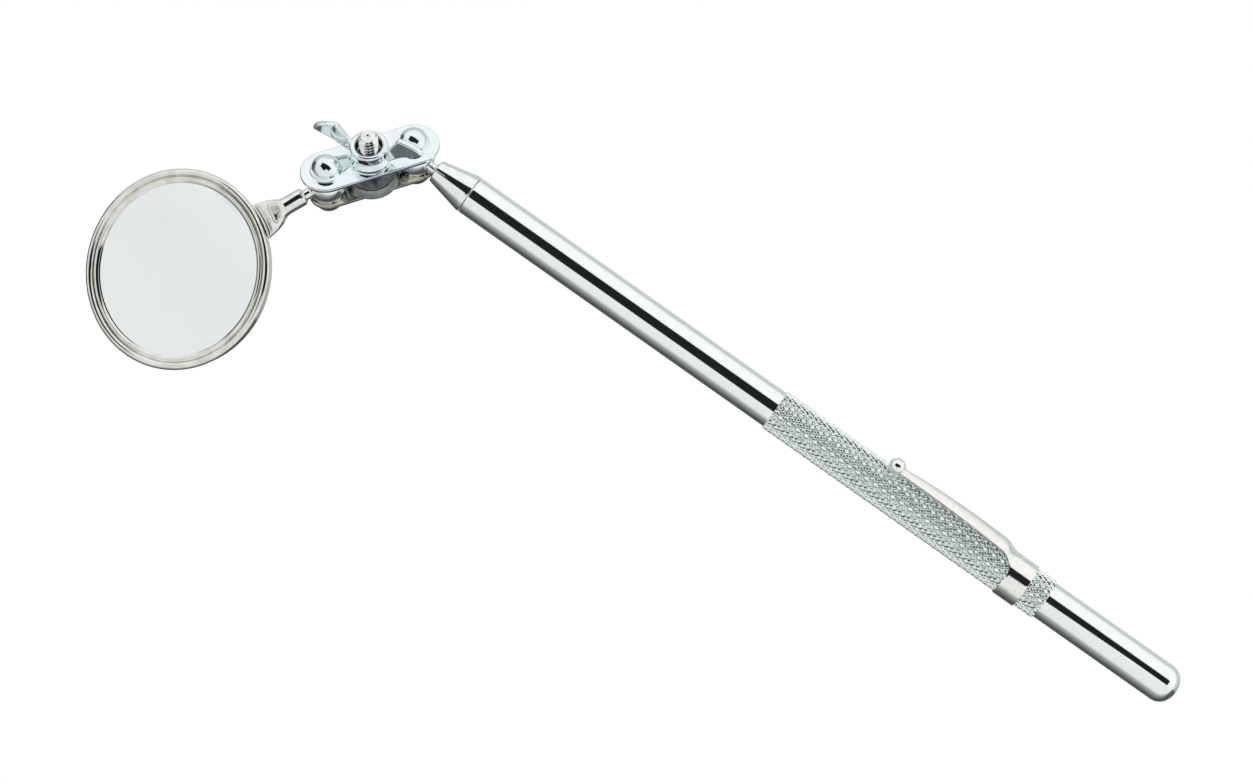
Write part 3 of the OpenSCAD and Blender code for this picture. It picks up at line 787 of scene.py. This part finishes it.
SIDE_R = MIRROR_R - 0.45
BEAD_R = 0.62
LIP_R = 13.65
CUP_WALL = 0.4
bezel = [(0, -CUP_DEPTH)] + arc(SIDE_R - 0.5, -CUP_DEPTH + 0.5, 0.5, -90, 0, 8)
bezel += [(SIDE_R, -2 * BEAD_R - 0.1)]
bezel += arc(MIRROR_R - BEAD_R, -BEAD_R, BEAD_R, -60, 172, 40)
bezel += rounded([(14.54, -0.36), (14.42, -0.42, 0.1), (14.28, -0.3, 0.12), (14.02, -0.3, 0.2),
                  (LIP_R, -0.52, 0.12), (LIP_R, GLASS_FACE), (SIDE_R - CUP_WALL, GLASS_FACE)], 5)
bezel += [(SIDE_R - CUP_WALL, CUP_WALL - CUP_DEPTH), (0, CUP_WALL - CUP_DEPTH)]
bm = bmesh.new()
add_turned(bm, bezel, "Z", 288)
place("mirror_bezel", to_mesh(bm, "mirror_bezel"), at_mirror, "mirror_head", "mirror_cup",
      nickel_rim)

GLASS_R = 14.925
glass_top = GLASS_FACE - 0.002
bm = bmesh.new()
add_turned(bm, rounded([(0, GLASS_FACE - GLASS_T), (GLASS_R, GLASS_FACE - GLASS_T, 0.12),
                        (GLASS_R, glass_top, 0.12), (0, glass_top)]), "Z", 192)
place("silvered_disc", to_mesh(bm, "silvered_disc"), at_mirror, "mirror_head", "mirror_glass",
      silvered)

# ---------------------------------------------------------------- CAD nodes that stay, hidden inside
for node, material in (("section_1_bush", brass), ("section_2_bush", brass), ("section_3_bush", brass),
                       ("backing_pad", foam)):
    mesh = frame["nodes"][node].data
    if len(mesh.materials) == 0:
        mesh.materials.append(material)
    for slot_index in range(len(mesh.materials)):
        mesh.materials[slot_index] = material

# ---------------------------------------------------------------- studio
FLOOR_HALF = 1.5
# Below the lowest place that the head can swing to, so that no pose dips through the floor
FLOOR_Z = -(PITCH + REACH + MIRROR_R + 2) * MM
floor_mesh = bpy.data.meshes.new("floor")
floor_mesh.from_pydata([(x * FLOOR_HALF, y * FLOOR_HALF, FLOOR_Z)
                        for x, y in ((-1, -1), (1, -1), (1, 1), (-1, 1))], [], [(0, 1, 2, 3)])
floor = bpy.data.objects.new("floor", floor_mesh)
bpy.context.scene.collection.objects.link(floor)
floor.visible_glossy = False
paper = bpy.data.materials.new("floor_paper")
paper.use_nodes = True
nodes, links = paper.node_tree.nodes, paper.node_tree.links
nodes.clear()
out = nodes.new("ShaderNodeOutputMaterial")
mixed = nodes.new("ShaderNodeAddShader")
glow = nodes.new("ShaderNodeEmission")
glow.inputs["Color"].default_value = (1, 1, 1, 1)
glow.inputs["Strength"].default_value = 0.82
matt = nodes.new("ShaderNodeBsdfDiffuse")
matt.inputs["Color"].default_value = (0.3, 0.3, 0.3, 1)
links.new(glow.outputs[0], mixed.inputs[0])
links.new(matt.outputs[0], mixed.inputs[1])
links.new(mixed.outputs[0], out.inputs["Surface"])
floor_mesh.materials.append(paper)

# Soft studio round the object, by direction: white cards on the -Y side and overhead, a dark gap between
# them that chrome shows as its stripe, and a dim room on the +Y side.
world = bpy.data.worlds.new("studio")
bpy.context.scene.world = world
world.use_nodes = True
nodes, links = world.node_tree.nodes, world.node_tree.links
nodes.clear()


def math_node(kind, a, b=None):
    node = nodes.new("ShaderNodeMath")
    node.operation = kind
    for i, value in enumerate((a, b)):
        if value is None:
            continue
        if isinstance(value, (int, float)):
            node.inputs[i].default_value = value
        else:
            links.new(value, node.inputs[i])
    return node.outputs[0]


def map_range(value, from_min, from_max, to_min, to_max, kind="LINEAR"):
    node = nodes.new("ShaderNodeMapRange")
    node.interpolation_type = kind
    links.new(value, node.inputs["Value"])
    for key, v in (("From Min", from_min), ("From Max", from_max), ("To Min", to_min), ("To Max", to_max)):
        if isinstance(v, (int, float)):
            node.inputs[key].default_value = v
        else:
            links.new(v, node.inputs[key])
    return node.outputs["Result"]


coords = nodes.new("ShaderNodeTexCoord")
split = nodes.new("ShaderNodeSeparateXYZ")
links.new(coords.outputs["Generated"], split.inputs[0])
dir_x, dir_y, dir_z = split.outputs
psi = math_node("MULTIPLY", math_node("ARCTAN2", dir_y, dir_z), 180 / pi)

# angle round the handle from overhead towards +Y, and brightness there
ROOM = ((-180, (0.30, 0.33, 0.33)), (-150, (0.62, 0.64, 0.64)), (-128, (0.58, 0.66, 0.64)),
        (-121, (0.45, 0.56, 0.54)), (-112, (0.64, 0.70, 0.69)), (-102, (0.90, 0.92, 0.92)),
        (-88, (0.98, 0.98, 0.98)), (-45, (1.0, 1.0, 1.0)), (-36, (0.92, 0.94, 0.94)),
        (0, (0.9, 0.92, 0.92)), (18, (0.80, 0.84, 0.84)), (28, (0.83, 0.86, 0.84)),
        (66, (0.80, 0.83, 0.80)), (76, (0.55, 0.58, 0.56)), (84, (0.35, 0.38, 0.37)),
        (96, (0.245, 0.27, 0.265)), (108, (0.15, 0.17, 0.165)), (120, (0.09, 0.10, 0.10)),
        (135, (0.07, 0.08, 0.08)), (180, (0.12, 0.13, 0.13)))
room = nodes.new("ShaderNodeValToRGB")
ramp = room.color_ramp
for i, (angle, colour) in enumerate(ROOM):
    position = (angle + 180) / 360
    stop = ramp.elements[i] if i < 2 else ramp.elements.new(position)
    stop.position = position
    stop.color = (*colour, 1)
links.new(map_range(psi, -180, 180, 0, 1), room.inputs["Fac"])

# Dark gap: its low edge is fixed, its high edge shifts along the handle, and it fades at both ends
GAP_COLOUR = (0.013, 0.016, 0.016, 1)
gap_high = math_node("ADD", map_range(dir_x, -0.12, -0.03, -4.0, 14.0),
                     map_range(dir_x, 0.2, 0.5, 0, -7.0))
gap_soft = math_node("ADD", gap_high, 4.0)
gap = math_node("MULTIPLY", map_range(psi, -37.0, -31.5, 0, 1, "SMOOTHSTEP"),
                map_range(psi, gap_high, gap_soft, 1, 0, "SMOOTHSTEP"))
gap = math_node("MULTIPLY", gap, map_range(dir_x, 0.66, 0.74, 1, 0, "SMOOTHSTEP"))
gap = math_node("MULTIPLY", gap, map_range(dir_x, -0.62, -0.5, 0, 1, "SMOOTHSTEP"))
shade = nodes.new("ShaderNodeMix")
shade.data_type = "RGBA"
links.new(gap, shade.inputs["Factor"])
links.new(room.outputs["Color"], shade.inputs[6])
shade.inputs[7].default_value = GAP_COLOUR
seen = nodes.new("ShaderNodeLightPath")
pale = nodes.new("ShaderNodeMix")
pale.data_type = "RGBA"
links.new(seen.outputs["Is Camera Ray"], pale.inputs["Factor"])
links.new(shade.outputs[2], pale.inputs[6])
pale.inputs[7].default_value = (1, 1, 1, 1)
sky = nodes.new("ShaderNodeBackground")
links.new(pale.outputs[2], sky.inputs["Color"])
out = nodes.new("ShaderNodeOutputWorld")
links.new(sky.outputs[0], out.inputs["Surface"])

# ---------------------------------------------------------------- camera, straight above
FRAME_W = 196.4
HEIGHT = 700.0
SENSOR = 36
VIEW_CENTRE = (72.3, 11.07)
camera_data = bpy.data.cameras.new("camera")
camera_data.sensor_width = SENSOR
camera_data.lens = SENSOR * HEIGHT / FRAME_W
camera_data.clip_start = 0.01
camera_data.clip_end = 20
camera = bpy.data.objects.new("camera", camera_data)
bpy.context.scene.collection.objects.link(camera)
right, up = Vector((-0.8174, -0.5761, 0)), Vector((0.5761, -0.8174, 0))
view = Matrix((right, up, right.cross(up))).transposed().to_4x4()
view.translation = Vector((*VIEW_CENTRE, HEIGHT)) * MM
camera.matrix_world = view
bpy.context.scene.camera = camera
bpy.context.scene.view_settings.view_transform = "Standard"
